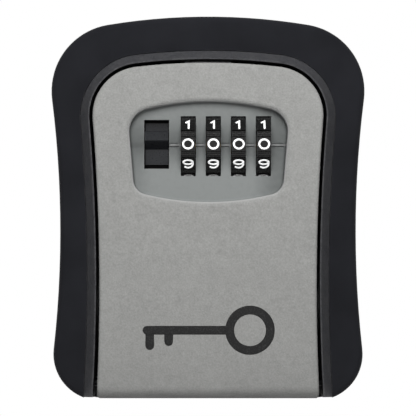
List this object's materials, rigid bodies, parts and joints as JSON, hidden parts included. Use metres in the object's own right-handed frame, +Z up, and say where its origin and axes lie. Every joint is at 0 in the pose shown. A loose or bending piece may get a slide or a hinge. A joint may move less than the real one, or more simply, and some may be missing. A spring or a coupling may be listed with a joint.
{
  "type": "key lock box",
  "caption": "Wall-mounted key box: waisted cover round a cast housing, drop-down door with a dial combination lock and release slider.",
  "frame": {"origin": "centre of the rectangle of wall-screw holes, on the wall plane at the back of the housing", "axes": "+Z up the wall along the box's height, +X to the right seen from the front, +Y into the wall; the door faces -Y"},
  "size_m": [0.0944, 0.0398, 0.1157],
  "materials": {
    "cover": "soft-touch matte",
    "casting": "fine textured black powder coat",
    "door_paint": "fine textured light grey paint",
    "case_plastic": "moulded black",
    "dial_plastic": "satin black",
    "button_plastic": "satin black",
    "screw_steel": "zinc plated",
    "pin_steel": "ground",
    "black_steel": "black oxide",
    "plate_steel": "stamped",
    "spring_steel": "drawn wire",
    "lever_brass": "tumbled",
    "sleeve_brass": "turned"
  },
  "bodies": {
    "housing": {"housing": "casting", "outer_cover": "cover", "cover_screws": "screw_steel", "hinge_pin": "black_steel"},
    "door": {"door_panel": "door_paint", "lock_case": "case_plastic", "lock_case_screws": "screw_steel", "detent_comb": "spring_steel", "detent_screws": "screw_steel", "latch_spring_left": "spring_steel", "latch_spring_right": "spring_steel"},
    "latch": {"release_button": "button_plastic", "latch_plate": "plate_steel", "latch_rivets": "pin_steel"},
    "shift_shaft": {"dial_shaft": "pin_steel", "shaft_clip": "spring_steel", "shift_fork": "plate_steel"},
    "reset_lever": {"reset_lever": "lever_brass", "lever_clip": "spring_steel"},
    "dial_1": {"dial_1": "dial_plastic"},
    "sleeve_1": {"sleeve_1": "sleeve_brass"},
    "dial_2": {"dial_2": "dial_plastic"},
    "sleeve_2": {"sleeve_2": "sleeve_brass"},
    "dial_3": {"dial_3": "dial_plastic"},
    "sleeve_3": {"sleeve_3": "sleeve_brass"},
    "dial_4": {"dial_4": "dial_plastic"},
    "sleeve_4": {"sleeve_4": "sleeve_brass"}
  },
  "joints": [
    {"name": "door_hinge", "type": "hinge", "parent": "housing", "child": "door", "pos_m": [0, -0.032, -0.0523], "axis": [1, 0, 0], "range_deg": [0, 100]},
    {"name": "latch_slide", "type": "slide", "parent": "door", "child": "latch", "axis": [0, 0, -1], "range_m": [0, 0.0033], "stiffness_N_per_m": 700, "springref_m": -0.003, "deforming": ["latch_spring_left", "latch_spring_right"]},
    {"name": "reset_turn", "type": "hinge", "parent": "door", "child": "reset_lever", "pos_m": [0.0219, -0.016, 0.0188], "axis": [0, -1, 0], "range_deg": [0, 53.4]},
    {"name": "shaft_shift", "type": "slide", "parent": "door", "child": "shift_shaft", "axis": [-1, 0, 0], "range_m": [0, 0.0014]},
    {"name": "dial_1_turn", "type": "hinge", "parent": "door", "child": "dial_1", "pos_m": [-0.00587, -0.0299, 0.0188], "axis": [1, 0, 0], "continuous": true},
    {"name": "sleeve_1_turn", "type": "hinge", "parent": "shift_shaft", "child": "sleeve_1", "pos_m": [-0.00587, -0.0299, 0.0188], "axis": [1, 0, 0], "continuous": true},
    {"name": "dial_2_turn", "type": "hinge", "parent": "door", "child": "dial_2", "pos_m": [0.00159, -0.0299, 0.0188], "axis": [1, 0, 0], "continuous": true},
    {"name": "sleeve_2_turn", "type": "hinge", "parent": "shift_shaft", "child": "sleeve_2", "pos_m": [0.00159, -0.0299, 0.0188], "axis": [1, 0, 0], "continuous": true},
    {"name": "dial_3_turn", "type": "hinge", "parent": "door", "child": "dial_3", "pos_m": [0.00905, -0.0299, 0.0188], "axis": [1, 0, 0], "continuous": true},
    {"name": "sleeve_3_turn", "type": "hinge", "parent": "shift_shaft", "child": "sleeve_3", "pos_m": [0.00905, -0.0299, 0.0188], "axis": [1, 0, 0], "continuous": true},
    {"name": "dial_4_turn", "type": "hinge", "parent": "door", "child": "dial_4", "pos_m": [0.01651, -0.0299, 0.0188], "axis": [1, 0, 0], "continuous": true},
    {"name": "sleeve_4_turn", "type": "hinge", "parent": "shift_shaft", "child": "sleeve_4", "pos_m": [0.01651, -0.0299, 0.0188], "axis": [1, 0, 0], "continuous": true}
  ],
  "couplings": [
    {"joint": "reset_turn", "follows": "shaft_shift", "rad_per_m": 665.7},
    {"joint": "sleeve_1_turn", "follows": "dial_1_turn", "ratio": 1},
    {"joint": "sleeve_2_turn", "follows": "dial_2_turn", "ratio": 1},
    {"joint": "sleeve_3_turn", "follows": "dial_3_turn", "ratio": 1},
    {"joint": "sleeve_4_turn", "follows": "dial_4_turn", "ratio": 1}
  ]
}
